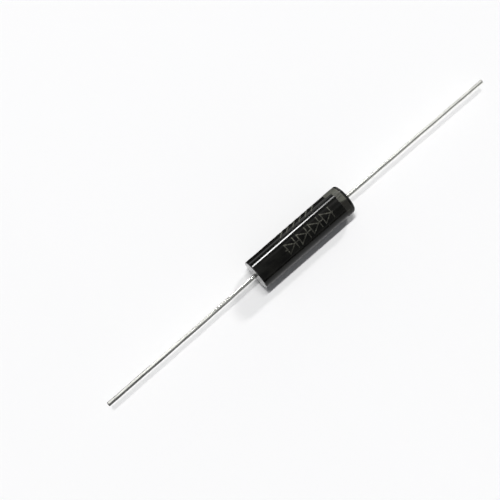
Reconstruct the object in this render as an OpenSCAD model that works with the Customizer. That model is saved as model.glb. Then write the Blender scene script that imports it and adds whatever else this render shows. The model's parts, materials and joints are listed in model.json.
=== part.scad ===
// Axial high voltage rectifier diode.
//
// A stack of silicon dice is soldered between two nail-head leads, coated with
// silicone and cast into one body of black epoxy resin. The body was poured
// from the anode end, where the resin stands in a shallow dome and climbs the
// lead in a meniscus. The cathode end took its rounded edge from the bottom of
// the mould, and it carries the printed band.
//
// The axis of the diode is X, with the cathode towards +X and the printed
// symbol towards +Z. The origin is at the middle of the body. Dimensions are
// in millimetres.

/* [Body] */
// Diameter of the body
body_d = 6.0; // [5:0.1:12]
// Length of the body between the edges of its end faces
body_l = 22.0; // [17:0.5:40]
// Rounding of the edge at the cathode end
body_edge_r = 0.5; // [0.1:0.05:0.5]
// Chamfer of the sharp edge at the anode end
rim_chamfer = 0.06; // [0.02:0.01:0.2]
// Height of the resin's dome at the anode end
dome_h = 0.12; // [0.05:0.01:0.5]
// Radius of the meniscus where the resin climbs the anode lead
meniscus_r = 0.2; // [0.1:0.05:0.8]

/* [Leads] */
// Diameter of the tinned copper wire
lead_d = 0.8; // [0.5:0.05:1.4]
// Straight length of each lead outside the body
lead_free_l = 35.0; // [15:0.5:60]
// Chamfer left by cutting the lead
lead_tip_chamfer = 0.08; // [0.02:0.01:0.15]
// Diameter of the nail head soldered to the stack
head_d = 2.2; // [2:0.05:2.6]
// Thickness of the nail head
head_t = 0.5; // [0.3:0.05:0.8]

/* [Silicon stack] */
// Number of dice in series
die_count = 20; // [10:1:24]
// Side of each square die
die_w = 1.5; // [1.45:0.05:1.8]
// Thickness of each die
die_t = 0.3; // [0.2:0.01:0.32]
// Side of each square solder layer
solder_w = 1.44; // [0.9:0.02:1.5]
// Thickness of each solder layer
solder_t = 0.06; // [0.03:0.01:0.08]

/* [Junction coating] */
// Diameter of the silicone coating round the stack
coating_d = 3.2; // [2.8:0.05:4]
// Length of coating past each nail head
coating_overlap = 0.5; // [0.3:0.05:1.2]
// Rounding of the coating's shoulders
coating_edge_r = 0.6; // [0.2:0.05:0.8]

/* [Print] */
// Thickness of the printed ink
ink_t = 0.03; // [0.02:0.01:0.05]
// Width of the cathode band
band_w = 1.45; // [0.8:0.05:2.5]
// Distance from the cathode end to the edge of the band
band_inset = 0.6; // [0.55:0.05:1.5]
// Length of the band's second print past its first, towards the anode
overlap_l = 1.3; // [0.3:0.1:1.8]
// Width of the band's second print, measured across the body
overlap_w = 2.8; // [1:0.1:4]
// Angle of the band's second print round the body, from the top
overlap_angle = -68; // [-100:1:-50]
// Width of the printed strokes
stroke_w = 0.22; // [0.1:0.02:0.3]
// Height of the printed rows round the body
mark_h = 2.4; // [1.6:0.1:2.6]
// Length of the printed string of rectifier symbols
symbol_l = 11.5; // [10.8:0.1:11.8]
// Number of rectifier symbols along the string
symbol_count = 4; // [1:1:4]
// Distance from the band to the end of the string of symbols
symbol_gap = 1.9; // [0.5:0.1:2.5]
// Angle of the string of symbols round the body, from the top
symbol_angle = 13; // [5:1:40]
// Number of printed chevrons
chevron_count = 6; // [3:1:8]
// Distance from one chevron to the next
chevron_pitch = 1.5; // [1.2:0.1:1.5]
// Distance from the band to the end of the row of chevrons
chevron_gap = 3.6; // [2.5:0.1:5]
// Angle of the row of chevrons round the body, from the top
chevron_angle = -60; // [-70:1:-58]

/* [Hidden] */
$fn = 96;

body_r = body_d / 2;
lead_r = lead_d / 2;
head_r = head_d / 2;
coating_r = coating_d / 2;
ink_r = body_r + ink_t;

anode_x = -body_l / 2;
cathode_x = body_l / 2;

die_pitch = die_t + solder_t;
stack_l = die_count * die_pitch + solder_t;
stack_end = stack_l / 2;
coating_l = stack_l + 2 * (head_t + coating_overlap);

// The dome is cut from a sphere that passes through the anode end's edge
dome_edge_r = body_r - rim_chamfer;
dome_r = (dome_edge_r * dome_edge_r + dome_h * dome_h) / (2 * dome_h);
// The meniscus ends where the dome has this height
toe_r = lead_r + meniscus_r;
toe_h = sqrt(dome_r * dome_r - toe_r * toe_r) - (dome_r - dome_h);

band_end_x = cathode_x - band_inset;
band_start_x = band_end_x - band_w;
symbol_start_x = band_start_x - symbol_gap - symbol_l;

// Cuts run this far past a face, so that none is left as a film
past = 1;

RESIN_BLACK = [0.06, 0.06, 0.057];
TIN_SILVER = [0.78, 0.79, 0.80];
INK_GREY = [0.42, 0.41, 0.38];
SILICON_GREY = [0.27, 0.28, 0.33];
SOLDER_GREY = [0.62, 0.63, 0.64];
SILICONE_WHITE = [0.90, 0.88, 0.82];

function two_digits(n) = n < 10 ? str("0", n) : str(n);
function die_name(i) = str("silicon_die_", two_digits(i));
function solder_name(i) = str("solder_layer_", two_digits(i));

// ---- Shared shapes ----

// Turns a shape made along +Z so that it runs along +X from x
module along_x(x = 0) {
    translate([x, 0, 0]) rotate([0, 90, 0]) children();
}

// A cylinder on the axis from x0 to x1
module rod(radius, x0, x1) {
    along_x(x0) cylinder(r = radius, h = x1 - x0);
}

// A copy of a cathode-side shape on the anode's side
module anode_side() {
    mirror([1, 0, 0]) children();
}

// ---- Leads ----

// A lead that starts at its nail head on the stack and runs out along +X
module lead_outward() {
    tip_x = cathode_x + lead_free_l;
    rod(head_r, stack_end, stack_end + head_t);
    rod(lead_r, stack_end, tip_x - lead_tip_chamfer);
    along_x(tip_x - lead_tip_chamfer)
        cylinder(r1 = lead_r, r2 = lead_r - lead_tip_chamfer, h = lead_tip_chamfer);
}

module cathode_lead() {
    color(TIN_SILVER) lead_outward();
}

module anode_lead() {
    color(TIN_SILVER) anode_side() lead_outward();
}

// ---- Silicon stack, numbered from the anode ----

// A square plate of the stack, centred on the axis, with its face at low_x
module stack_plate(width, thickness, low_x) {
    translate([low_x, -width / 2, -width / 2]) cube([thickness, width, width]);
}

module solder_layer(i) {
    color(SOLDER_GREY)
        stack_plate(solder_w, solder_t, -stack_end + (i - 1) * die_pitch);
}

module silicon_die(i) {
    color(SILICON_GREY)
        stack_plate(die_w, die_t, -stack_end + (i - 1) * die_pitch + solder_t);
}

module whole_stack() {
    for (i = [1 : die_count]) silicon_die(i);
    for (i = [1 : die_count + 1]) solder_layer(i);
}

// ---- Junction coating ----

// A cylinder with both of its edges rounded
module coating_outside() {
    shoulder_x = coating_l / 2 - coating_edge_r;
    along_x()
        rotate_extrude() {
            translate([0, -coating_l / 2])
                square([coating_r - coating_edge_r, coating_l]);
            translate([0, -shoulder_x])
                square([coating_r, 2 * shoulder_x]);
            for (side = [-1, 1])
                translate([coating_r - coating_edge_r, side * shoulder_x])
                    circle(r = coating_edge_r);
        }
}

module junction_coating() {
    color(SILICONE_WHITE)
        difference() {
            coating_outside();
            whole_stack();
            lead_outward();
            anode_side() lead_outward();
        }
}

// ---- Body ----

// The half section of the body without its dome, with the anode end at the
// height 0 and the cathode end at body_l
module barrel_section() {
    polygon([
        [0, 0], [dome_edge_r, 0], [body_r, rim_chamfer],
        [body_r, body_l - body_edge_r], [0, body_l - body_edge_r]
    ]);
    square([body_r - body_edge_r, body_l]);
    translate([body_r - body_edge_r, body_l - body_edge_r])
        circle(r = body_edge_r);
}

// The resin's free surface, which bulges from the anode end's edge
module dome_section() {
    intersection() {
        translate([0, dome_r - dome_h]) circle(r = dome_r, $fn = 720);
        translate([0, -dome_h]) square([dome_edge_r, dome_h + past]);
    }
}

// The concave collar of resin round the anode lead
module meniscus_section() {
    difference() {
        translate([0, -toe_h - meniscus_r]) square([toe_r, toe_h + meniscus_r + past]);
        translate([toe_r, -toe_h - meniscus_r]) circle(r = meniscus_r);
    }
}

module epoxy_body() {
    color(RESIN_BLACK)
        difference() {
            along_x(anode_x)
                rotate_extrude() {
                    barrel_section();
                    dome_section();
                    meniscus_section();
                }
            coating_outside();
            lead_outward();
            anode_side() lead_outward();
        }
}

// ---- Print ----

// The ink that a flat drawing leaves on the body, with the drawing's X along
// the body and its Y round it
module printed(angle) {
    rotate([angle, 0, 0])
        intersection() {
            difference() {
                rod(ink_r, anode_x, cathode_x);
                rod(body_r, anode_x - past, cathode_x + past);
            }
            linear_extrude(body_d) children();
        }
}

// The band, with the part of its second print that went past the first
module cathode_band() {
    low_x = band_start_x - overlap_l;
    color(INK_GREY)
        difference() {
            rod(ink_r, low_x, band_end_x);
            rod(body_r, low_x - past, band_end_x + past);
            difference() {
                rod(body_d, low_x - past, band_start_x);
                rotate([overlap_angle, 0, 0])
                    translate([low_x - 2 * past, -overlap_w / 2, 0])
                        cube([overlap_l + 3 * past, overlap_w, 2 * body_d]);
            }
        }
}

// A triangle that points along +X, centred on its length
module arrow(length, height) {
    polygon([[-length / 2, -height / 2], [length / 2, 0], [-length / 2, height / 2]]);
}

// A rectifier symbol: a triangle centred on its length, whose tip ends in the
// middle of a bar on the cathode's side
module rectifier_symbol(length) {
    // an equilateral triangle's inner edge lies three strokes shorter
    inner_l = length - 3 * stroke_w;
    difference() {
        arrow(length, mark_h);
        translate([stroke_w + (inner_l - length) / 2, 0])
            arrow(inner_l, mark_h * inner_l / length);
    }
    translate([length / 2, 0]) square([stroke_w, mark_h], center = true);
}

// Rectifier symbols in series on one line, which breaks inside each triangle
module polarity_symbol() {
    symbol_pitch = symbol_l / symbol_count;
    arrow_l = mark_h * cos(30);
    color(INK_GREY)
        printed(symbol_angle)
            translate([symbol_start_x, 0]) {
                for (i = [0 : symbol_count - 1])
                    translate([(i + 0.5) * symbol_pitch, 0])
                        rectifier_symbol(arrow_l);
                // each line runs from the middle of a bar to that of a base
                for (i = [0 : symbol_count]) {
                    x0 = max(0, (i - 0.5) * symbol_pitch + arrow_l / 2);
                    x1 = min(symbol_l,
                             (i + 0.5) * symbol_pitch - (arrow_l - stroke_w) / 2);
                    translate([x0, -stroke_w / 2]) square([x1 - x0, stroke_w]);
                }
            }
}

// Chevrons in a row, pointing at the cathode
module chevron_row() {
    chevron_l = 0.5 * mark_h;
    last_x = band_start_x - chevron_gap - chevron_l / 2;
    color(INK_GREY)
        printed(chevron_angle)
            for (i = [0 : chevron_count - 1])
                translate([last_x - i * chevron_pitch, 0])
                    difference() {
                        arrow(chevron_l, mark_h);
                        translate([-sqrt(2) * stroke_w, 0]) arrow(chevron_l, mark_h);
                    }
}

// ---- Nodes ----

epoxy_body();
anode_lead();
cathode_lead();
junction_coating();
cathode_band();
polarity_symbol();
chevron_row();
for (i = [1 : die_count])
    silicon_die(i);
for (i = [1 : die_count + 1])
    solder_layer(i);
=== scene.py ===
"""Axial high voltage rectifier diode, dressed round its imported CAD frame.

The axis of the diode is X with the cathode towards +X, and +Z is up. Every length
is in metres. The black resin body, the two leads and the cathode band are surfaces
of revolution worked out here, and the printed marks and the parts inside the body
keep their CAD meshes and get finishes of their own.
"""

import itertools
import json
import logging
import math
from dataclasses import dataclass
from enum import Enum
from typing import Any, Iterable, Mapping, NamedTuple, Sequence, Union

import bpy
import numpy as np
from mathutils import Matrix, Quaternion, Vector


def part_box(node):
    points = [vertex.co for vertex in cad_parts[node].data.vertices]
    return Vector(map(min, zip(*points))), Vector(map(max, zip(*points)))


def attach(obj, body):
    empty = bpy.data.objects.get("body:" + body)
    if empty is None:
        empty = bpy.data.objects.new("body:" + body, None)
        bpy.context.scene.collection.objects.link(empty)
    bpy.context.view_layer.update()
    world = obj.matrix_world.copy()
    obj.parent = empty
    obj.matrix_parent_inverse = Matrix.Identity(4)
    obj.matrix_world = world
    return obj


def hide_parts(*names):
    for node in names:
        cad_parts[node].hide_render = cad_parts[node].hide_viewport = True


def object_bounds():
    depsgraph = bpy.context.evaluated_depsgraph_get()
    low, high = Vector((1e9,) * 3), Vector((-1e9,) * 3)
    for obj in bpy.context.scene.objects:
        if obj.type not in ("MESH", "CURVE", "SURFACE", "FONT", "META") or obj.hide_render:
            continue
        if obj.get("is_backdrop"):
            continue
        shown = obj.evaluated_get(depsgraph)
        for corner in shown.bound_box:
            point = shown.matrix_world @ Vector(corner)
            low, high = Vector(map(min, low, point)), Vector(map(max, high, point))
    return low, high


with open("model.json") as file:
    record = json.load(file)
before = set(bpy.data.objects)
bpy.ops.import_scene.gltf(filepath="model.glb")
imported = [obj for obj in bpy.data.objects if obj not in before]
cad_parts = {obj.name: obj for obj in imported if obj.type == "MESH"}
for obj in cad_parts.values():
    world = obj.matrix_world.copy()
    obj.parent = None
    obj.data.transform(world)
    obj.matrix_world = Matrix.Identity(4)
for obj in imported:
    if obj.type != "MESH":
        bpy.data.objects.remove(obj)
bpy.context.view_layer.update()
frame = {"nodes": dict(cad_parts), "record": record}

MM = 1e-3
MICRON = 1e-6
BODY = "root"
TAU = 2.0 * math.pi

log = logging.getLogger("diode")

Rgb = tuple[float, float, float]
Point = tuple[float, float, float]
Waves = tuple[tuple[int, float], ...]


# ---- Node maths ----


class Sock:
    """A node's output socket, on which Python's operators add Math nodes."""

    def __init__(self, bench: "Bench", socket: bpy.types.NodeSocket | None) -> None:
        """Wraps a socket.

        Args:
            bench: the bench that owns the node.
            socket: the output that this object stands for, if the node has one.
        """
        self.bench = bench
        self.socket = socket

    def _math(self, operation: str, first: "Value", second: "Value") -> "Sock":
        """Adds a Math node.

        Args:
            operation: the operation that the node does, such as "ADD".
            first: the left operand.
            second: the right operand.

        Returns:
            The node's result.
        """
        return self.bench.node(
            "ShaderNodeMath", {"operation": operation}, {0: first, 1: second}
        )

    def __add__(self, other: "Value") -> "Sock":
        """Returns self + other."""
        return self._math("ADD", self, other)

    def __radd__(self, other: "Value") -> "Sock":
        """Returns other + self."""
        return self._math("ADD", other, self)

    def __sub__(self, other: "Value") -> "Sock":
        """Returns self - other."""
        return self._math("SUBTRACT", self, other)

    def __rsub__(self, other: "Value") -> "Sock":
        """Returns other - self."""
        return self._math("SUBTRACT", other, self)

    def __mul__(self, other: "Value") -> "Sock":
        """Returns self * other."""
        return self._math("MULTIPLY", self, other)

    def __rmul__(self, other: "Value") -> "Sock":
        """Returns other * self."""
        return self._math("MULTIPLY", other, self)

    def above(self, low: float, high: float) -> "Sock":
        """Rises smoothly from 0 to 1 as the value goes from low to high.

        Args:
            low: where the result is 0.
            high: where the result is 1, which may be the smaller number.

        Returns:
            (3 - 2 t) t^2 with t the clamped share of the way.
        """
        return self.bench.node(
            "ShaderNodeMapRange",
            {"interpolation_type": "SMOOTHSTEP"},
            {"Value": self, "From Min": low, "From Max": high},
            "Result",
        )


Value = Union[Sock, float, int, Sequence[float]]


class Bench:
    """A material or the world, and the one method that adds nodes to it."""

    def __init__(self, name: str, kept_in: bpy.types.bpy_prop_collection | None = None) -> None:
        """Makes an empty node tree.

        Args:
            name: the name of the material or world.
            kept_in: where it is kept, such as bpy.data.worlds; None for a material.
        """
        self.owner = (bpy.data.materials if kept_in is None else kept_in).new(name)
        self.owner.use_nodes = True
        self.tree = self.owner.node_tree
        self.tree.nodes.clear()

    def node(
        self,
        kind: str,
        settings: Mapping[str, Any] | None = None,
        inputs: Mapping[Union[str, int], Value] | None = None,
        output: Union[str, int] = 0,
    ) -> Sock:
        """Adds a node, with its settings first and then its inputs.

        Args:
            kind: the node's type.
            settings: attributes of the node; "stops" gives a ramp's stops.
            inputs: a value or a link for each named or numbered input.
            output: the output to return.

        Returns:
            The chosen output.
        """
        made = self.tree.nodes.new(kind)
        for key, value in (settings or {}).items():
            if key == "stops":
                self._set_stops(made.color_ramp, value)
            else:
                setattr(made, key, value)
        for key, value in (inputs or {}).items():
            if isinstance(value, Sock):
                self.tree.links.new(value.socket, made.inputs[key])
            else:
                made.inputs[key].default_value = value
        return Sock(self, made.outputs[output] if len(made.outputs) else None)

    @staticmethod
    def _set_stops(ramp: bpy.types.ColorRamp, stops: Sequence[tuple[float, Rgb]]) -> None:
        """Gives a colour ramp its two stops and eases it from one to the other.

        Args:
            ramp: the ramp.
            stops: the place and the colour of each stop.
        """
        ramp.interpolation = "EASE"
        for element, (place, colour) in zip(ramp.elements, stops):
            element.position = place
            element.color = (*colour, 1.0)

    def place(self, scale: Sequence[float]) -> Sock:
        """Returns the Object coordinates, scaled along each axis.

        Args:
            scale: the factor along X, Y and Z.

        Returns:
            The scaled position as a vector.
        """
        point = self.node("ShaderNodeTexCoord", output="Object")
        return self.node("ShaderNodeMapping", {}, {"Vector": point, "Scale": scale})

    def level(self, axis: str) -> Sock:
        """Returns the place along one axis, "X", "Y" or "Z", in metres."""
        point = self.node("ShaderNodeTexCoord", output="Object")
        return self.node("ShaderNodeSeparateXYZ", {}, {"Vector": point}, axis)

    def noise(self, grain: Sequence[float], detail: float, roughness: float = 0.5) -> Sock:
        """Fractal noise whose features have the given lengths along X, Y and Z.

        Args:
            grain: length of a feature along each axis, in metres.
            detail: number of octaves.
            roughness: share of each finer octave.

        Returns:
            The noise, from 0 to 1 round 0.5.
        """
        scale = tuple(1.0 / g for g in grain)
        return self.node(
            "ShaderNodeTexNoise",
            {"noise_dimensions": "3D"},
            {
                "Vector": self.place(scale),
                "Scale": 1.0,
                "Detail": detail,
                "Roughness": roughness,
            },
        )

    def mix(self, share: Value, first: Value, second: Value) -> Sock:
        """Mixes two colours.

        Args:
            share: how much of the second colour there is.
            first: the colour at share 0.
            second: the colour at share 1.

        Returns:
            The mixed colour.
        """
        ends = [v if isinstance(v, Sock) else (*v, 1.0) for v in (first, second)]
        return self.node(
            "ShaderNodeMix",
            {"data_type": "RGBA"},
            {"Factor": share, 6: ends[0], 7: ends[1]},
            2,
        )

    def bump(self, height: Sock, depth: float, over: Sock | None = None) -> Sock:
        """Turns a height from 0 to 1 into a normal.

        Args:
            height: the height.
            depth: the relief of height 1, in metres.
            over: a normal that this relief lies on.

        Returns:
            The normal.
        """
        links: dict[Union[str, int], Value] = {
            "Strength": 1.0,
            "Distance": depth,
            "Height": height,
        }
        if over is not None:
            links["Normal"] = over
        return self.node("ShaderNodeBump", {}, links)

    def surface(self, **sockets: Value) -> bpy.types.Material:
        """Closes the material with a Principled shader.

        Args:
            **sockets: the shader's inputs, with _ for a blank in a name.

        Returns:
            The finished material.
        """
        names = {key.replace("_", " "): value for key, value in sockets.items()}
        shader = self.node("ShaderNodeBsdfPrincipled", {}, names)
        self.node("ShaderNodeOutputMaterial", {}, {"Surface": shader})
        return self.owner


# ---- Finishes ----


@dataclass(frozen=True)
class ResinFinish:
    """Black filled epoxy: glossy where the mould was, duller where it was poured.

    Deep, wear_and_side_shade and pour are the colours of the wall, its streaks and the poured
    face; on the resin the streak colour is its own tone, with no shade in it.
    """

    pour_face_x: float
    name: str = "black_resin"
    deep: Rgb = (0.0010, 0.0010, 0.0008)
    wear_and_side_shade: Rgb = (0.0080, 0.0080, 0.0064)
    pour: Rgb = (0.034, 0.034, 0.032)
    roughness: float = 0.075
    pour_roughness: float = 0.24
    skin_roughness: float = 0.07
    pour_edge: tuple[float, float] = (0.10 * MM, 0.03 * MM)
    ripple: float = 0.22 * MICRON
    pit: float = 3.0 * MICRON

    def material(self) -> bpy.types.Material:
        """Mixes the mould's gloss and the pour's satin by the place on the axis.

        Returns:
            The material. Roughness is r0 + 0.04 s + 0.02 b on the moulded wall,
            where s are drawn streaks along the axis and b are blotches.
        """
        bench = Bench(self.name)
        poured = bench.level("X").above(*(self.pour_face_x + way for way in self.pour_edge))
        blotch = bench.noise((1.9 * MM, 1.1 * MM, 1.1 * MM), detail=3.0)
        streak = bench.noise((6.0 * MM, 0.12 * MM, 0.12 * MM), detail=3.0, roughness=0.6)
        grit = bench.noise((0.11 * MM,) * 3, detail=2.0, roughness=0.6)
        orange_peel = bench.noise((0.55 * MM,) * 3, detail=1.0)
        moulded = bench.mix(
            (streak * 0.7 + blotch * 0.6).above(0.45, 0.85), self.deep, self.wear_and_side_shade
        )
        colour = bench.mix(poured, moulded, self.pour)
        moulded_roughness = self.roughness + 0.04 * streak + 0.02 * blotch
        poured_roughness = self.pour_roughness + 0.10 * grit
        roughness = (1.0 - poured) * moulded_roughness + poured * poured_roughness
        normal = bench.bump(orange_peel, self.ripple)
        normal = bench.bump(grit * poured, self.pit, normal)
        return bench.surface(
            Base_Color=colour,
            Roughness=roughness,
            Normal=normal,
            IOR=1.52,
            Specular_IOR_Level=0.32,
            Coat_Weight=poured,
            Coat_Roughness=self.skin_roughness,
        )


@dataclass(frozen=True)
class TinFinish:
    """Tinned wire: drawn lines along it, a dull bloom and a cut end of bare copper."""

    cut_x: float
    name: str
    bright: Rgb = (0.80, 0.80, 0.745)
    bloom: Rgb = (0.62, 0.62, 0.58)
    copper: Rgb = (0.42, 0.27, 0.19)
    roughness: float = 0.08
    cut_edge: tuple[float, float] = (0.03 * MM, 0.005 * MM)
    line_depth: float = 0.4 * MICRON
    dimple_depth: float = 1.2 * MICRON

    def material(self) -> bpy.types.Material:
        """Lays bloom and drawn lines over tin, and bares the cut face at cut_x.

        The cut begins and is full at the two distances of cut_edge from the tip.

        Returns:
            The material. Roughness is r0 + 0.08 l + 0.12 b + 0.25 c, with l the
            drawn lines, b the bloom and c the cut.
        """
        bench = Bench(self.name)
        outwards = bench.level("X") * math.copysign(1.0, self.cut_x)
        cut = outwards.above(*(abs(self.cut_x) - way for way in self.cut_edge))
        bloom = bench.noise((2.4 * MM, 0.35 * MM, 0.35 * MM), detail=4.0, roughness=0.6)
        lines = bench.noise((5.0 * MM, 0.05 * MM, 0.05 * MM), detail=2.0, roughness=0.7)
        dimple = bench.noise((0.5 * MM, 0.16 * MM, 0.16 * MM), detail=2.0)
        tin = bench.mix(bloom.above(0.42, 0.70), self.bright, self.bloom)
        normal = bench.bump(lines, self.line_depth)
        normal = bench.bump(dimple, self.dimple_depth, normal)
        return bench.surface(
            Base_Color=bench.mix(cut, tin, self.copper),
            Metallic=1.0,
            Roughness=self.roughness + 0.08 * lines + 0.12 * bloom + 0.25 * cut,
            Normal=normal,
        )


class Coverage(NamedTuple):
    """How far ink covers the resin.

    Gap is the threshold of its gaps, length that of its streaks, shade_depth how much
    of the cover a painted shade takes away on the -Y side, away from the lamps, and
    side the two places along Y where that painted shade starts and is full.
    """

    gap: float
    length: float
    shade_depth: float
    side: tuple[float, float]


class InkCoverage(Enum):
    """The coverage of each kind of print."""

    # The last two numbers of each coverage set a painted shade: the ink thins on the -Y side,
    # away from the lamps.
    BRUSHED_BAND = Coverage(gap=0.30, length=2.2 * MM, shade_depth=0.24, side=(-0.1 * MM, -1.2 * MM))
    FINE_STROKES = Coverage(gap=0.32, length=0.5 * MM, shade_depth=0.15, side=(1.1 * MM, -1.3 * MM))


@dataclass(frozen=True)
class InkFinish:
    """Warm grey marking ink, thin enough that the resin shows through its streaks."""

    name: str
    coverage: InkCoverage
    ink: Rgb = (0.113, 0.113, 0.092)
    thin: Rgb = (0.020, 0.019, 0.016)
    roughness: float = 0.52
    softness: float = 0.24
    relief: float = 1.6 * MICRON

    def material(self) -> bpy.types.Material:
        """Breaks the ink up in streaks that run along the diode's axis.

        Returns:
            The material. The ink's share is a smooth step of 0.7 s + 0.3 m - w, with
            s the streaks, m a mottle and w a painted shade that thins the ink towards
            -Y, the side of the body away from the lamps, so that side prints darker.
        """
        rule = self.coverage.value
        bench = Bench(self.name)
        streak = bench.noise((rule.length, 0.13 * MM, 0.13 * MM), detail=3.0, roughness=0.65)
        mottle = bench.noise((0.7 * MM,) * 3, detail=2.0)
        # Painted shade: the cover thins towards -Y, the side away from the lamps, so the ink
        # prints darker there.
        wear_and_side_shade = bench.level("Y").above(*rule.side) * rule.shade_depth
        cover = 0.7 * streak + 0.3 * mottle - wear_and_side_shade
        cover = cover.above(rule.gap, rule.gap + self.softness)
        return bench.surface(
            Base_Color=bench.mix(cover, self.thin, self.ink),
            Roughness=self.roughness - 0.12 * (1.0 - cover),
            Normal=bench.bump(cover, self.relief),
            IOR=1.47,
            Specular_IOR_Level=0.28,
        )


@dataclass(frozen=True)
class GrainFinish:
    """One base material with a grain of dark and pale: for the parts in the resin."""

    name: str
    dark: Rgb
    pale: Rgb
    grain: float
    roughness: float
    metallic: float = 0.0
    relief: float = 1.0 * MICRON

    def material(self) -> bpy.types.Material:
        """Mottles the colour, roughness and relief with one grain.

        Returns:
            The material.
        """
        bench = Bench(self.name)
        grain = bench.noise((self.grain,) * 3, detail=4.0, roughness=0.6)
        return bench.surface(
            Base_Color=bench.mix(grain.above(0.3, 0.7), self.dark, self.pale),
            Metallic=self.metallic,
            Roughness=self.roughness + 0.12 * grain,
            Normal=bench.bump(grain, self.relief),
        )


# ---- Surfaces ----


def arc(
    centre: tuple[float, float], radius: float, start: float, stop: float, steps: int
) -> np.ndarray:
    """Points (x, r) on a circle's arc in the half section.

    They are centre + radius (cos a, sin a), with a in degrees from +X towards +r.

    Args:
        centre: the circle's centre as (x, r).
        radius: the circle's radius.
        start: the first angle.
        stop: the last angle.
        steps: the number of spans.

    Returns:
        An array of steps + 1 rows.
    """
    a = np.radians(np.linspace(start, stop, steps + 1))
    return np.column_stack([centre[0] + radius * np.cos(a), centre[1] + radius * np.sin(a)])


def run(first: Sequence[float], last: Sequence[float], spans: int) -> np.ndarray:
    """Evenly spaced points (x, r) between two points, without the last one."""
    share = np.linspace(0.0, 1.0, spans + 1)[:-1, None]
    return (1.0 - share) * np.asarray(first) + share * np.asarray(last)


def turned(section: np.ndarray, segments: int) -> tuple[np.ndarray, np.ndarray]:
    """Carries a closed half section round the axis.

    P(i, v) = (x_i, r_i cos v, r_i sin v), with v = 2 pi j / segments. The section
    is a loop that doesn't meet the axis, so the surface is a closed ring.

    Args:
        section: rows of (x, r) or, for a surface that varies round the axis, an
            array of shape (rows, segments, 2).
        segments: the number of steps round the axis.

    Returns:
        The vertices and the four-sided faces.
    """
    rows = len(section)
    grid = section if section.ndim == 3 else np.repeat(section[:, None, :], segments, 1)
    v = TAU * np.arange(segments) / segments
    x, r = grid[..., 0], grid[..., 1]
    points = np.stack([x, r * np.cos(v), r * np.sin(v)], axis=-1).reshape(-1, 3)
    i, j = np.meshgrid(np.arange(rows), np.arange(segments), indexing="ij")
    below, beside = (i + 1) % rows, (j + 1) % segments
    faces = np.stack(
        [i * segments + j, i * segments + beside, below * segments + beside,
         below * segments + j],
        axis=-1,
    ).reshape(-1, 4)
    return points, faces


def capped(section: np.ndarray, segments: int) -> tuple[np.ndarray, list[list[int]]]:
    """Carries an open half section round the axis and closes both ends with a pole.

    P(i, v) = (x_i, r_i cos v, r_i sin v) for the inner rows; the first and last
    rows lie on the axis and become one vertex each.

    Args:
        section: rows of (x, r), or an array of shape (rows, segments, 2), whose
            first and last rows have r = 0.
        segments: the number of steps round the axis.

    Returns:
        The vertices and the faces.
    """
    grid = section if section.ndim == 3 else np.repeat(section[:, None, :], segments, 1)
    v = TAU * np.arange(segments) / segments
    x, r = grid[1:-1, :, 0], grid[1:-1, :, 1]
    rings = np.stack([x, r * np.cos(v), r * np.sin(v)], axis=-1)
    rows = len(rings)
    poles = np.array([[grid[0, :, 0].mean(), 0, 0], [grid[-1, :, 0].mean(), 0, 0]])
    points = np.concatenate([rings.reshape(-1, 3), poles])
    i, j = np.meshgrid(np.arange(rows - 1), np.arange(segments), indexing="ij")
    beside = (j + 1) % segments
    walls = np.stack(
        [i * segments + j, i * segments + beside, (i + 1) * segments + beside,
         (i + 1) * segments + j],
        axis=-1,
    ).reshape(-1, 4)
    turn = np.arange(segments)
    onward = (turn + 1) % segments
    last = (rows - 1) * segments
    first_pole, last_pole = rows * segments, rows * segments + 1
    start_fan = np.column_stack([np.full(segments, first_pole), onward, turn])
    stop_fan = np.column_stack([np.full(segments, last_pole), last + turn, last + onward])
    return points, walls.tolist() + start_fan.tolist() + stop_fan.tolist()


def piece(
    name: str,
    points: np.ndarray,
    faces: Iterable[Sequence[int]],
    material: bpy.types.Material,
    crease: float = 30.0,
) -> bpy.types.Object:
    """Makes a smooth-shaded object whose faces point outwards.

    Args:
        name: the object's name.
        points: the vertices, in metres, in the frame's own axes.
        faces: vertex numbers of each face.
        material: the finish.
        crease: edges that bend by more than this many degrees stay sharp.

    Returns:
        The object, at the origin and riding on the diode's body.
    """
    mesh = bpy.data.meshes.new(name)
    mesh.from_pydata(points.tolist(), [], [list(face) for face in faces])
    mesh.update()
    if volume(mesh) < 0.0:
        mesh.flip_normals()
    mesh.shade_smooth()
    mesh.set_sharp_from_angle(angle=math.radians(crease))
    mesh.materials.append(material)
    made = bpy.data.objects.new(name, mesh)
    bpy.context.scene.collection.objects.link(made)
    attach(made, BODY)
    return made


def volume(mesh: bpy.types.Mesh) -> float:
    """Works out the signed volume of a closed mesh.

    It is the sum of a . (b x c) / 6 over the triangles a, b, c.

    Args:
        mesh: the mesh.

    Returns:
        The volume, which is negative where the faces point inwards.
    """
    mesh.calc_loop_triangles()
    corner = np.empty(len(mesh.loop_triangles) * 3, np.int32)
    mesh.loop_triangles.foreach_get("vertices", corner)
    place = np.empty(len(mesh.vertices) * 3)
    mesh.vertices.foreach_get("co", place)
    a, b, c = np.moveaxis(place.reshape(-1, 3)[corner.reshape(-1, 3)], 1, 0)
    return float(np.einsum("ij,ij->i", a, np.cross(b, c)).sum() / 6.0)


def ripple(angle: np.ndarray, waves: Waves, seed: int) -> np.ndarray:
    """Works out a periodic wave round the axis.

    It is the sum of a_k sin(n_k v + p_k), with phases p_k from a seeded draw.

    Args:
        angle: the angles v round the axis.
        waves: (n, a) of each term.
        seed: the seed of the phases.

    Returns:
        The wave's value at each angle.
    """
    phases = np.random.default_rng(seed).uniform(0.0, TAU, len(waves))
    return sum(a * np.sin(n * angle + p) for (n, a), p in zip(waves, phases))


# ---- The diode's own measures ----


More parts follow.
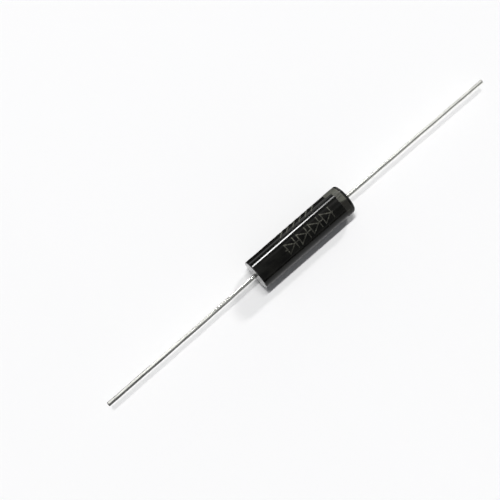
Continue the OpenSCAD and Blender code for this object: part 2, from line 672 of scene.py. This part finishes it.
@dataclass(frozen=True)
class Measures:
    """The diode's main sizes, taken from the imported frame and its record.

    A name that ends in x is a place on the axis, and one that ends in r a radius.
    """

    anode_x: float
    cathode_x: float
    meniscus_top_x: float
    body_r: float
    wire_r: float
    head_r: float
    stack_x: float
    tip_x: float
    coating_x: float
    coating_r: float
    band: tuple[float, float]
    ink_r: float

    @classmethod
    def from_frame(cls) -> "Measures":
        """Reads the sizes from the boxes of the nodes and the record's mounts.

        Returns:
            The measures. The meniscus stands past the anode end, so that end is
            taken as the mirror of the cathode end.
        """
        mounts = {m["name"]: m for m in frame["record"]["mounts"]}
        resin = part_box("epoxy_body")
        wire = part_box("cathode_lead")
        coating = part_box("junction_coating")
        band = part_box("cathode_band")
        return cls(
            anode_x=-resin[1].x,
            cathode_x=resin[1].x,
            meniscus_top_x=resin[0].x,
            body_r=mounts["body_barrel"]["dims"]["r_mm"] * MM,
            wire_r=mounts["cathode_lead"]["dims"]["r_mm"] * MM,
            head_r=wire[1].z,
            stack_x=wire[0].x,
            tip_x=wire[1].x,
            coating_x=coating[1].x,
            coating_r=coating[1].z,
            band=(band[0].x, band[1].x),
            ink_r=band[1].z,
        )


# ---- Sub-assemblies ----


@dataclass
class ResinBody:
    """The cast body: a moulded wall, a poured anode end and a cavity for the stack."""

    measures: Measures
    rim_round: float = 0.06 * MM
    edge_round: float = 0.50 * MM
    dome_rise: float = 0.12 * MM
    meniscus_r: float = 0.20 * MM
    coating_round: float = 0.60 * MM
    shrink: float = 1.3 * MICRON
    wall_waves: tuple[tuple[int, float, float], ...] = ((2, 260.0, 1.0), (3, -410.0, 0.6))
    pour_waves: Waves = (
        (1, 0.020 * MM), (2, 0.012 * MM), (3, 0.008 * MM), (5, 0.004 * MM)
    )
    pour_seed: int = 11
    snug: float = 1e-9
    segments: int = 288

    def section(self) -> np.ndarray:
        """Works out the closed half section as rows of (x, r).

        It goes from the top of the meniscus over the dome, along the wall, round
        the cathode edge, and back along the wire's bore and the cavity. The dome
        is a circle through the rim with the given rise: R = (e^2 + h^2) / 2 h.

        Returns:
            The rows, in order, as a loop that isn't closed twice.
        """
        m = self.measures
        rim_r = m.body_r - self.rim_round
        dome_r = (rim_r**2 + self.dome_rise**2) / (2.0 * self.dome_rise)
        dome_centre = m.anode_x + dome_r - self.dome_rise
        toe_r = m.wire_r + self.meniscus_r
        r = np.linspace(toe_r, rim_r, 25)
        dome = np.column_stack([dome_centre - np.sqrt(dome_r**2 - r**2), r])
        meniscus = arc((m.meniscus_top_x, toe_r), self.meniscus_r, -90.0, 0.0, 12)
        shoulder = m.coating_x - self.coating_round
        shoulder_r = m.coating_r - self.coating_round
        return np.concatenate([
            meniscus[:-1],
            dome[:-1],
            arc((m.anode_x + self.rim_round, rim_r), self.rim_round, 180.0, 90.0, 6)[:-1],
            run((m.anode_x + self.rim_round, m.body_r),
                (m.cathode_x - self.edge_round, m.body_r), 96),
            arc((m.cathode_x - self.edge_round, m.body_r - self.edge_round),
                self.edge_round, 90.0, 0.0, 14)[:-1],
            run((m.cathode_x, m.body_r - self.edge_round), (m.cathode_x, m.wire_r), 12),
            run((m.cathode_x, m.wire_r), (m.coating_x, m.wire_r), 4),
            run((m.coating_x, m.wire_r), (m.coating_x, shoulder_r), 3),
            arc((shoulder, shoulder_r), self.coating_round, 0.0, 90.0, 8)[:-1],
            run((shoulder, m.coating_r), (-shoulder, m.coating_r), 6),
            arc((-shoulder, shoulder_r), self.coating_round, 90.0, 180.0, 8)[:-1],
            run((-m.coating_x, shoulder_r), (-m.coating_x, m.wire_r), 3),
            run((-m.coating_x, m.wire_r), (m.meniscus_top_x, m.wire_r), 4),
        ])

    def build(self) -> bpy.types.Object:
        """Makes the body and adds the wall's cure shrinkage and the pour's unevenness.

        On the wall r = R + w f S, where w is the shrinkage, S the sum of
        a sin(n v + k x) over the wall's waves (n, k, a), and f fades to 0 at both
        edges. On the poured face x moves by a wave round the axis that fades to 0
        at the wire and at the rim.

        Returns:
            The piece that stands for the CAD body.
        """
        m = self.measures
        flat = self.section()
        grid = np.repeat(flat[:, None, :], self.segments, 1)
        v = TAU * np.arange(self.segments)[None, :] / self.segments
        x, r = grid[..., 0].copy(), grid[..., 1].copy()
        wall = np.isclose(r, m.body_r, atol=self.snug)
        half = m.cathode_x - self.edge_round
        fade = np.clip(1.0 - (x / half) ** 2, 0.0, 1.0)
        wave = sum(a * np.sin(n * v + k * x) for n, k, a in self.wall_waves)
        grid[..., 1] = np.where(wall, r + self.shrink * wave * fade, r)
        toe_r = m.wire_r + self.meniscus_r
        rim_r = m.body_r - self.rim_round
        share = np.clip((r - m.wire_r) / (rim_r - m.wire_r), 0.0, 1.0)
        poured = (x < m.anode_x + self.snug) & (r > toe_r * 0.999)
        lift = ripple(v, self.pour_waves, self.pour_seed) * np.sin(math.pi * share) ** 2
        grid[..., 0] = np.where(poured, x + lift, x)
        points, faces = turned(grid, self.segments)
        finish = ResinFinish(pour_face_x=m.anode_x).material()
        made = piece("resin_body", points, faces, finish, crease=40.0)
        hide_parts("epoxy_body")
        return made


class Side(Enum):
    """Which end of the diode a lead belongs to, as the sign of X."""

    ANODE = -1
    CATHODE = 1


@dataclass
class Lead:
    """A nail-head lead: tinned copper wire, drawn, straightened and sheared."""

    side: Side
    measures: Measures
    head_t: float = 0.50 * MM
    tip_round: float = 0.08 * MM
    wander: float = 0.012 * MM
    wander_period: float = 9.0 * MM
    straight: float = 1.0 * MM
    fade_in: float = 6.0 * MM
    bow: float = 0.20 * MM
    curl: float = 0.0
    shear: float = 0.05 * MM
    shear_length: float = 0.4 * MM
    segments: int = 72

    def section(self) -> np.ndarray:
        """Works out the half section from the stack to the tip, for the +X side.

        Returns:
            Rows of (x, r), of which the first and the last lie on the axis.
        """
        m = self.measures
        head_x = m.stack_x + self.head_t
        round_r = m.wire_r - self.tip_round
        return np.concatenate([
            [(m.stack_x, 0.0)],
            run((m.stack_x, m.head_r * 0.5), (m.stack_x, m.head_r), 2),
            run((m.stack_x, m.head_r), (head_x, m.head_r), 2),
            run((head_x, m.head_r), (head_x, m.wire_r), 3),
            run((head_x, m.wire_r), (m.tip_x - self.tip_round, m.wire_r), 170),
            arc((m.tip_x - self.tip_round, round_r), self.tip_round, 90.0, 0.0, 5),
            run((m.tip_x, round_r * 0.6), (m.tip_x, 0.0), 2),
            [(m.tip_x, 0.0)],
        ])

    def build(self) -> bpy.types.Object:
        """Makes the lead, with a slight wander from straightening and a sheared tip.

        Outside the body the wire's centre is at y = w sin(k x) g - b u (1 + c (1 - u))
        and z = w sin(1.7 k x + 1) g, with w the wander, k = 2 pi / period, g a smooth
        step from 0 near the body to 1, b the bow, u the share of the way from the
        body to the tip and c the curl, 0 for a wire that leans without a curve. The
        cut face leans: x falls by s (1 - z / r) / 2 over the tip, with s the shear.

        Returns:
            The piece that stands for the CAD lead.
        """
        m = self.measures
        points, faces = capped(self.section(), self.segments)
        x, y, z = points.T.copy()
        free = np.clip((x - m.cathode_x - self.straight) / self.fade_in, 0.0, 1.0)
        free = free * free * (3.0 - 2.0 * free)
        k = TAU / self.wander_period
        lean = np.clip((x - (m.tip_x - self.shear_length)) / self.shear_length, 0.0, 1.0)
        x = x - self.shear * lean * (1.0 - z / m.wire_r) / 2.0
        out = np.clip((x - m.cathode_x) / (m.tip_x - m.cathode_x), 0.0, 1.0)
        bend = self.bow * out * (1.0 + self.curl * (1.0 - out))
        y = y + self.wander * np.sin(k * x) * free - bend
        z = z + self.wander * np.sin(1.7 * k * x + 1.0) * free
        points = np.column_stack([x * self.side.value, y, z])
        finish = TinFinish(
            cut_x=m.tip_x * self.side.value, name=f"tinned_wire_{self.side.name.lower()}"
        ).material()
        made = piece(f"{self.side.name.lower()}_wire", points, faces, finish, crease=35.0)
        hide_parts(f"{self.side.name.lower()}_lead")
        return made


@dataclass
class CathodeBand:
    """The printed band: a thin layer of ink with a ragged edge towards the anode.

    Its second print went past the first over a part of the turn.
    """

    measures: Measures
    overlap: float = 1.3 * MM
    overlap_width: float = 2.8 * MM
    overlap_angle: float = 22.0
    overlap_slope: float = 3.0
    raggedness: float = 0.07 * MM
    ragged_waves: Waves = (
        (3, 0.35), (7, 0.45), (13, 0.40), (29, 0.35), (53, 0.30), (97, 0.25)
    )
    clean_waves: Waves = ((4, 0.10), (11, 0.10), (37, 0.10))
    key: float = 4.0 * MICRON
    outer_points: int = 21
    inner_points: int = 7
    segments: int = 720

    def build(self) -> bpy.types.Object:
        """Makes the band as a closed ring of ink.

        Its section is a flat loop: the outside is r = R + t (1 - |2 u - 1|^6) for
        u from edge to edge, and the inside lies a little within the resin, which
        keys the ink. The anode edge is moved by a wave round the axis of many
        periods, and the other edge by a smaller one. Within an angle
        asin(w / 2 R) of the overlap's middle the anode edge lies nearer the anode,
        and it slopes back over the angle given.

        Returns:
            The piece that stands for the CAD band.
        """
        m = self.measures
        v = TAU * np.arange(self.segments) / self.segments
        reach = math.asin(self.overlap_width / (2.0 * m.body_r))
        off = np.abs(np.angle(np.exp(1j * (v - math.radians(self.overlap_angle)))))
        slope = math.radians(self.overlap_slope)
        first_print = np.clip((off - reach) / slope + 1.0, 0.0, 1.0)
        ragged = ripple(v, self.ragged_waves, seed=5)
        clean = ripple(v, self.clean_waves, seed=6)
        low = m.band[0] + self.overlap * first_print + self.raggedness * (ragged - ragged.min())
        high = m.band[1] - self.raggedness * (clean - clean.min())
        across = np.linspace(0, 1, self.outer_points)
        back = np.linspace(1, 0, self.inner_points)[1:-1]
        u = np.concatenate([across, back])[:, None]
        outside = np.arange(len(u))[:, None] < self.outer_points
        x = low + (high - low) * u
        thick = (m.ink_r - m.body_r) * (1.0 - np.abs(2.0 * u - 1.0) ** 6)
        r = np.where(outside, m.body_r + thick, m.body_r - self.key)
        r = np.broadcast_to(r, x.shape)
        points, faces = turned(np.stack([x, r], axis=-1), self.segments)
        finish = InkFinish(
            "band_ink", InkCoverage.BRUSHED_BAND, ink=(0.103, 0.104, 0.086)
        ).material()
        made = piece("cathode_band_ink", points, faces, finish, crease=60.0)
        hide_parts("cathode_band")
        return made


class CadDress:
    """Gives the CAD nodes that stay in view, or lie inside the body, their finishes."""

    def __init__(self) -> None:
        """Makes a finish for each start of a node's name."""
        self.finishes = {
            ("polarity_symbol", "chevron_row"): InkFinish(
                "mark_ink", InkCoverage.FINE_STROKES
            ).material(),
            ("silicon_die",): GrainFinish(
                "silicon", dark=(0.10, 0.105, 0.13), pale=(0.16, 0.165, 0.19),
                grain=0.3 * MM, roughness=0.12, metallic=0.6,
            ).material(),
            ("solder_layer",): GrainFinish(
                "solder", dark=(0.48, 0.48, 0.49), pale=(0.66, 0.66, 0.65),
                grain=0.08 * MM, roughness=0.34, metallic=1.0,
            ).material(),
            ("junction_coating",): GrainFinish(
                "silicone", dark=(0.66, 0.62, 0.52), pale=(0.80, 0.77, 0.69),
                grain=0.5 * MM, roughness=0.42,
            ).material(),
        }

    def apply(self) -> list[str]:
        """Assigns each finish.

        Returns:
            The names of the nodes that got one.
        """
        dressed = []
        for starts, material in self.finishes.items():
            for name, node in frame["nodes"].items():
                if name.startswith(starts):
                    node.data.materials.clear()
                    node.data.materials.append(material)
                    dressed.append(name)
        return dressed


# ---- Studio ----


@dataclass(frozen=True)
class Lamp:
    """A rectangular lamp that faces the diode.

    Its direction leans from straight up by across degrees towards +Y and by along
    degrees towards +X, and roll turns it about that direction. Its share is what it
    adds to a level surface, where 1 is the light at which a colour renders as it is
    written. Only the objects named in cut_by throw a shadow in it, or all objects
    where there is no name.
    """

    name: str
    across: float
    along: float
    distance: float
    length: float
    width: float
    share: float
    roll: float = 0.0
    glossy: bool = True
    diffuse: bool = True
    cut_by: tuple[str, ...] = ()

    def build(self) -> bpy.types.Object:
        """Hangs the lamp.

        The irradiance on a level surface is P cos i / (pi d^2), so a share s takes
        P = s pi^2 d^2 / cos i.

        Returns:
            The light object.
        """
        tilt = Vector((math.tan(math.radians(self.along)),
                       math.tan(math.radians(self.across)), 1.0)).normalized()
        data = bpy.data.lights.new(self.name, "AREA")
        data.shape = "RECTANGLE"
        data.size, data.size_y = self.length, self.width
        data.energy = self.share * math.pi**2 * self.distance**2 / tilt.z
        made = bpy.data.objects.new(self.name, data)
        made.location = tilt * self.distance
        side = Vector((1.0, 0.0, 0.0))
        side = (side - tilt * side.dot(tilt)).normalized()
        side.rotate(Quaternion(tilt, math.radians(self.roll)))
        up = tilt.cross(side)
        made.rotation_mode = "QUATERNION"
        axes = np.array([side, up, tilt]).T
        made.rotation_quaternion = Matrix(axes.tolist()).to_quaternion()
        made.visible_glossy = self.glossy
        made.visible_diffuse = self.diffuse
        made.visible_camera = False
        bpy.context.scene.collection.objects.link(made)
        if self.cut_by:
            blockers = bpy.data.collections.new(f"{self.name}_blockers")
            for name in self.cut_by:
                blockers.objects.link(bpy.data.objects[name])
            made.light_linking.blocker_collection = blockers
        return made


@dataclass(frozen=True)
class Flag:
    """A box beside the diode, which only gloss sees, from its low to its high corner.

    The corners are in millimetres from the body's middle.
    """

    name: str
    low: Point
    high: Point
    shade: float = 0.012

    def build(self) -> bpy.types.Object:
        """Stands the box up, where neither the camera nor the light on the table sees it.

        Returns:
            The box.
        """
        corners = np.array(list(itertools.product(*zip(self.low, self.high)))) * MM
        faces = [
            (0, 1, 3, 2), (4, 6, 7, 5), (0, 4, 5, 1), (2, 3, 7, 6), (0, 2, 6, 4), (1, 5, 7, 3)
        ]
        mesh = bpy.data.meshes.new(self.name)
        mesh.from_pydata(corners.tolist(), [], faces)
        card = Bench(self.name).surface(Base_Color=(*(self.shade,) * 3, 1.0), Roughness=0.8)
        mesh.materials.append(card)
        made = bpy.data.objects.new(self.name, mesh)
        made.visible_camera = made.visible_diffuse = made.visible_shadow = False
        bpy.context.scene.collection.objects.link(made)
        made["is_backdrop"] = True
        return made


@dataclass
class Studio:
    """A pale table, a dim room with a bright horizon, lamps and the camera.

    The lamps and the boxes that only gloss sees are a table each: name, across,
    along, distance, length, width and share of a lamp, and name, low corner, high
    corner and shade of a box. Horizon gives the two heights, as the sine of the
    angle above the table, between which white fades to the colour of the room.
    """

    table_z: float
    table_half: float = 4.0
    table_points: int = 9
    table_colour: Rgb = (0.956, 0.954, 0.951)
    room: Rgb = (0.117, 0.120, 0.130)
    horizon: tuple[float, float] = (0.15, 0.32)
    azimuth: float = -41.364
    elevation: float = 77.497
    distance: float = 190.87 * MM
    aim_right: float = -9.279 * MM
    aim_up: float = -2.466 * MM
    lens: float = 75.0
    clip: tuple[float, float] = (0.01, 20.0)
    flags: tuple[Flag, ...] = (
        Flag("back_flag", (-11.0, 3.15, -3.02), (12.8, 12.0, 0.2)),
        Flag("front_flag", (-140.0, -92.0, -3.02), (34.0, -90.0, 23.0)),
        Flag("side_flag", (-25.0, 100.0, 12.0), (13.0, 102.0, 36.0)),
        # These three cards lie flat on the table and show only in reflections: painted shade on
        # the table, seen in the body's lower flank and in the near wire.
        Flag("front_card", (-16.0, -85.0, -3.02), (32.0, -4.2, -2.99), 0.54),
        Flag("wire_card", (-64.0, -85.0, -3.02), (-16.0, -0.6, -2.99), 0.20),
        Flag("tip_card", (-64.0, 1.2, -3.02), (-36.0, 60.0, -2.99), 0.10),
    )
    lamps: tuple[Lamp, ...] = (
        Lamp("key_lamp", 11.2, 2.5, 12.0, 6.00, 0.44, 0.492, glossy=False,
             cut_by=("resin_body", "cathode_band_ink")),
        Lamp("wire_lamp", 12.0, 0.0, 12.0, 1.00, 0.50, 0.215, glossy=False),
        Lamp("side_panel", 27.7, 50.0, 12.0, 2.00, 0.80, 0.165, glossy=False,
             cut_by=("resin_body", "cathode_band_ink")),
        Lamp("far_ceiling", 0.0, 27.0, 0.60, 0.26, 0.50, 0.06, diffuse=False),
        Lamp("root_sheen", -3.0, 3.7, 0.60, 0.065, 0.45, 0.011, diffuse=False),
        Lamp("wire_glow", -48.0, 3.2, 0.50, 0.066, 0.60, 0.0074, diffuse=False),
        Lamp("ceiling_glow", 25.0, 14.5, 0.50, 0.100, 0.13, 0.0048, roll=4.0, diffuse=False),
        Lamp("window", 56.0, 15.6, 0.50, 0.060, 0.070, 0.136, roll=12.0, diffuse=False),
        Lamp("window_edge", 56.0, 26.5, 0.50, 0.052, 0.070, 0.027, diffuse=False),
        Lamp("tip_panel", 40.0, -5.5, 0.50, 0.125, 1.11, 0.150, diffuse=False),
        Lamp("far_panel", 46.0, 34.0, 0.50, 0.125, 0.50, 0.042, diffuse=False),
    )

    def lay_table(self) -> bpy.types.Object:
        """Lays the table as a grid z = const and gives it a satin white finish.

        Returns:
            The table.
        """
        steps = self.table_points
        side = np.linspace(-self.table_half, self.table_half, steps)
        x, y = np.meshgrid(side, side, indexing="ij")
        points = np.stack([x, y, np.full_like(x, self.table_z)], -1).reshape(-1, 3)
        i, j = np.meshgrid(np.arange(steps - 1), np.arange(steps - 1), indexing="ij")
        at = (i * steps + j).ravel()
        faces = np.column_stack([at, at + steps, at + steps + 1, at + 1])
        mesh = bpy.data.meshes.new("table")
        mesh.from_pydata(points.tolist(), [], faces.tolist())
        white = Bench("table_white").surface(
            Base_Color=(*self.table_colour, 1.0), Roughness=0.7, Specular_IOR_Level=0.2
        )
        mesh.materials.append(white)
        made = bpy.data.objects.new("table", mesh)
        bpy.context.scene.collection.objects.link(made)
        made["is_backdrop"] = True
        return made

    def light_room(self) -> None:
        """Lights the room dimly, and white just above the table's horizon."""
        bench = Bench("room", bpy.data.worlds)
        bpy.context.scene.world = bench.owner
        towards = bench.node("ShaderNodeTexCoord", output="Generated")
        height = bench.node("ShaderNodeSeparateXYZ", {}, {"Vector": towards}, "Z")
        stops = tuple(zip(self.horizon, ((1.0, 1.0, 1.0), self.room)))
        shade = bench.node("ShaderNodeValToRGB", {"stops": stops}, {"Fac": height})
        sky = bench.node("ShaderNodeBackground", {}, {"Color": shade})
        bench.node("ShaderNodeOutputWorld", {}, {"Surface": sky})

    def stand_camera(self) -> bpy.types.Object:
        """Stands the camera above the diode and to one side of the body's middle.

        With b the direction back to the camera, it stands at aim + d b and looks
        along -b, where aim is the body's middle moved along the view's own axes.

        Returns:
            The camera object.
        """
        a, e = math.radians(self.azimuth), math.radians(self.elevation)
        back = Vector((math.sin(a) * math.cos(e), -math.cos(a) * math.cos(e), math.sin(e)))
        right = Vector((math.cos(a), math.sin(a), 0.0))
        up = back.cross(right)
        data = bpy.data.cameras.new("camera")
        data.lens = self.lens
        data.clip_start, data.clip_end = self.clip
        made = bpy.data.objects.new("camera", data)
        made.location = right * self.aim_right + up * self.aim_up + back * self.distance
        made.rotation_mode = "QUATERNION"
        made.rotation_quaternion = (-back).to_track_quat("-Z", "Y")
        bpy.context.scene.collection.objects.link(made)
        bpy.context.scene.camera = made
        return made

    def build(self) -> None:
        """Sets up the whole studio and the plain view transform."""
        self.lay_table()
        for flag in self.flags:
            flag.build()
        self.light_room()
        for lamp in self.lamps:
            lamp.build()
        self.stand_camera()
        bpy.context.scene.view_settings.view_transform = "Standard"


def main() -> None:
    """Builds the diode and the studio in order, and reports each piece."""
    logging.basicConfig(level=logging.INFO, format="%(name)s: %(message)s")
    measures = Measures.from_frame()
    makers = (
        ResinBody(measures),
        Lead(Side.ANODE, measures, bow=0.22 * MM, curl=1.0),
        Lead(Side.CATHODE, measures),
        CathodeBand(measures),
    )
    for maker in makers:
        made = maker.build()
        log.info("%s: %d faces", made.name, len(made.data.polygons))
    log.info("dressed %d CAD nodes", len(CadDress().apply()))
    Studio(table_z=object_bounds()[0].z).build()


if __name__ == "__main__":
    main()
